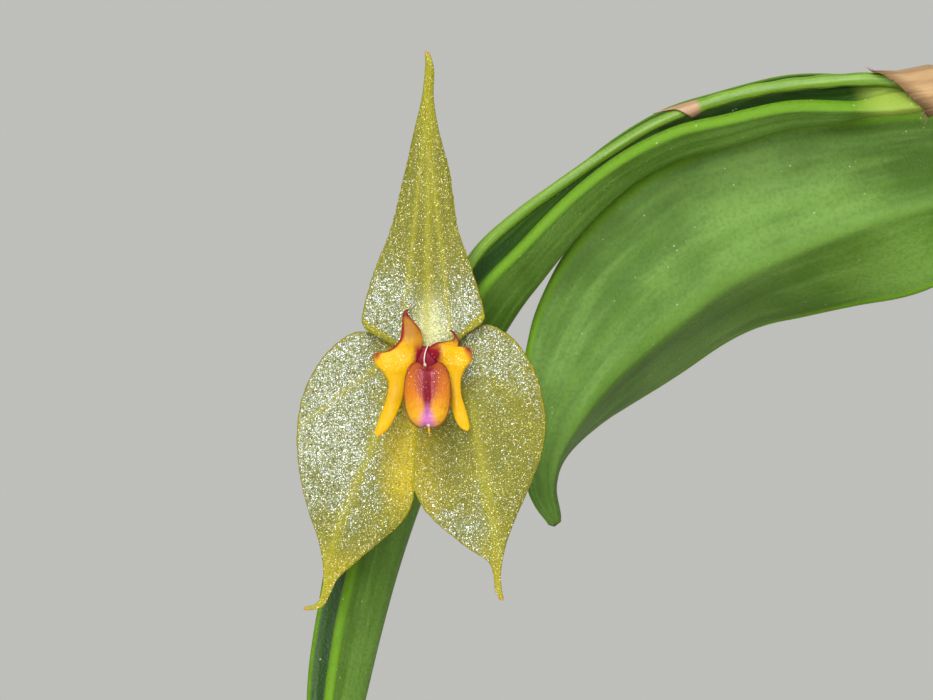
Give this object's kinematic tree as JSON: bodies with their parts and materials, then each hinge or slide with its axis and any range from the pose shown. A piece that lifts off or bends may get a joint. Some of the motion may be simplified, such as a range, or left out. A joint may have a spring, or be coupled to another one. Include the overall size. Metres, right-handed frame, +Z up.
{
  "type": "potted lepanthes orchid",
  "caption": "Miniature lepanthes orchid with sheathed stems, folded leaves and an open flower, planted in sphagnum moss in a small clay pot.",
  "frame": {"origin": "middle of the pot's flat base, on the surface that the pot stands on", "axes": "+Z up out of the pot, -Y the way the open flower faces, +X to the right as seen by a viewer whom the flower faces"},
  "size_m": [0.0943, 0.0932, 0.0922],
  "materials": {
    "terracotta": "unglazed fired clay, matte, slightly weathered",
    "sphagnum": "damp moss strands, matte",
    "rhizome": "living root, matte",
    "sheathed_stem": "dry papery sheaths, matte",
    "leaf": "fleshy leaf, semi-gloss",
    "flower_stalk": "living stalk, satin",
    "sepal": "translucent glistening sepal, satin",
    "petal": "waxy petal, gloss",
    "lip": "waxy lip, gloss",
    "column": "waxy column, gloss"
  },
  "bodies": {
    "root": {"pot": "terracotta", "moss": "sphagnum", "rhizome_roots": "rhizome", "ramicaul_01": "sheathed_stem", "leaf_01": "leaf", "ramicaul_02": "sheathed_stem", "leaf_02": "leaf", "ramicaul_03": "sheathed_stem", "leaf_03": "leaf", "ramicaul_04": "sheathed_stem", "leaf_04": "leaf", "ramicaul_05": "sheathed_stem", "leaf_05": "leaf", "ramicaul_06": "sheathed_stem", "leaf_06": "leaf", "ramicaul_07": "sheathed_stem", "leaf_07": "leaf", "ramicaul_08": "sheathed_stem", "leaf_08": "leaf", "ramicaul_09": "sheathed_stem", "leaf_09": "leaf", "ramicaul_10": "sheathed_stem", "leaf_10": "leaf", "ramicaul_11": "sheathed_stem", "leaf_11": "leaf", "ramicaul_12": "sheathed_stem", "leaf_12": "leaf", "peduncle": "flower_stalk", "pedicel_ovary": "flower_stalk", "dorsal_sepal": "sepal", "left_sepal": "sepal", "right_sepal": "sepal", "left_petal": "petal", "right_petal": "petal", "lip": "lip", "column": "column"}
  },
  "joints": []
}
